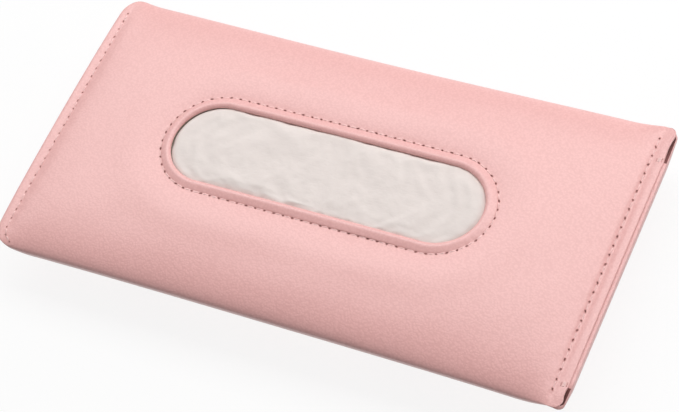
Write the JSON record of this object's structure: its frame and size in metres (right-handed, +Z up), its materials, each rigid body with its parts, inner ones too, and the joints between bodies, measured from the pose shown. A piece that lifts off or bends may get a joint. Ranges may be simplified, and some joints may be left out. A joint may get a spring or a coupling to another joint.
{
  "type": "car tissue holder",
  "caption": "Flat leatherette tissue pouch for a car's sun visor, with an oval window, a hinged back panel and sprung clips.",
  "frame": {"origin": "on the surface that the clips rest on, below the middle of the pouch", "axes": "+X along the pouch to the open-folded end, +Y to the fold beside the panel's hinge, +Z up through the window"},
  "size_m": [0.231, 0.1204, 0.0276],
  "materials": {
    "leatherette": "pink pebbled coated fabric, soft sheen",
    "thread": "pink polyester sewing thread",
    "board": "grey fibre board",
    "lining": "thin woven lining",
    "tissue": "soft creped paper",
    "spring_steel": "plated spring steel",
    "magnet": "nickel plate"
  },
  "bodies": {
    "pouch": {"cover": "leatherette", "window_binding": "leatherette", "window_thread": "thread", "left_end_thread": "thread", "right_end_thread": "thread", "far_tack": "thread", "near_tack": "thread", "front_board": "board", "front_lining": "lining", "top_tissue": "tissue", "tissue_stack": "thread", "near_facing": "lining", "far_facing": "lining", "left_keeper": "spring_steel", "right_keeper": "spring_steel", "hinge_margin": "leatherette", "hinge_thread": "thread"},
    "back_panel": {"panel_skin": "leatherette", "panel_board": "board", "panel_lining": "lining", "panel_thread": "thread", "left_magnet": "magnet", "right_magnet": "magnet", "left_clip": "spring_steel", "right_clip": "spring_steel", "left_near_rivet": "spring_steel", "left_far_rivet": "spring_steel", "right_near_rivet": "spring_steel", "right_far_rivet": "spring_steel"},
    "left_leg": {"left_clip_leg": "spring_steel"},
    "right_leg": {"right_clip_leg": "spring_steel"}
  },
  "joints": [
    {"name": "back_panel_hinge", "type": "hinge", "parent": "pouch", "child": "back_panel", "pos_m": [-0.00095, 0.04, 0.01], "axis": [1, 0, 0], "range_deg": [0, 110]},
    {"name": "left_clip_spring", "type": "hinge", "parent": "back_panel", "child": "left_leg", "pos_m": [-0.056, 0.0352, 0.004], "axis": [1, 0, 0], "range_deg": [0, 14], "stiffness_Nm_per_rad": 3.5},
    {"name": "right_clip_spring", "type": "hinge", "parent": "back_panel", "child": "right_leg", "pos_m": [0.0541, 0.0352, 0.004], "axis": [1, 0, 0], "range_deg": [0, 14], "stiffness_Nm_per_rad": 3.5}
  ]
}
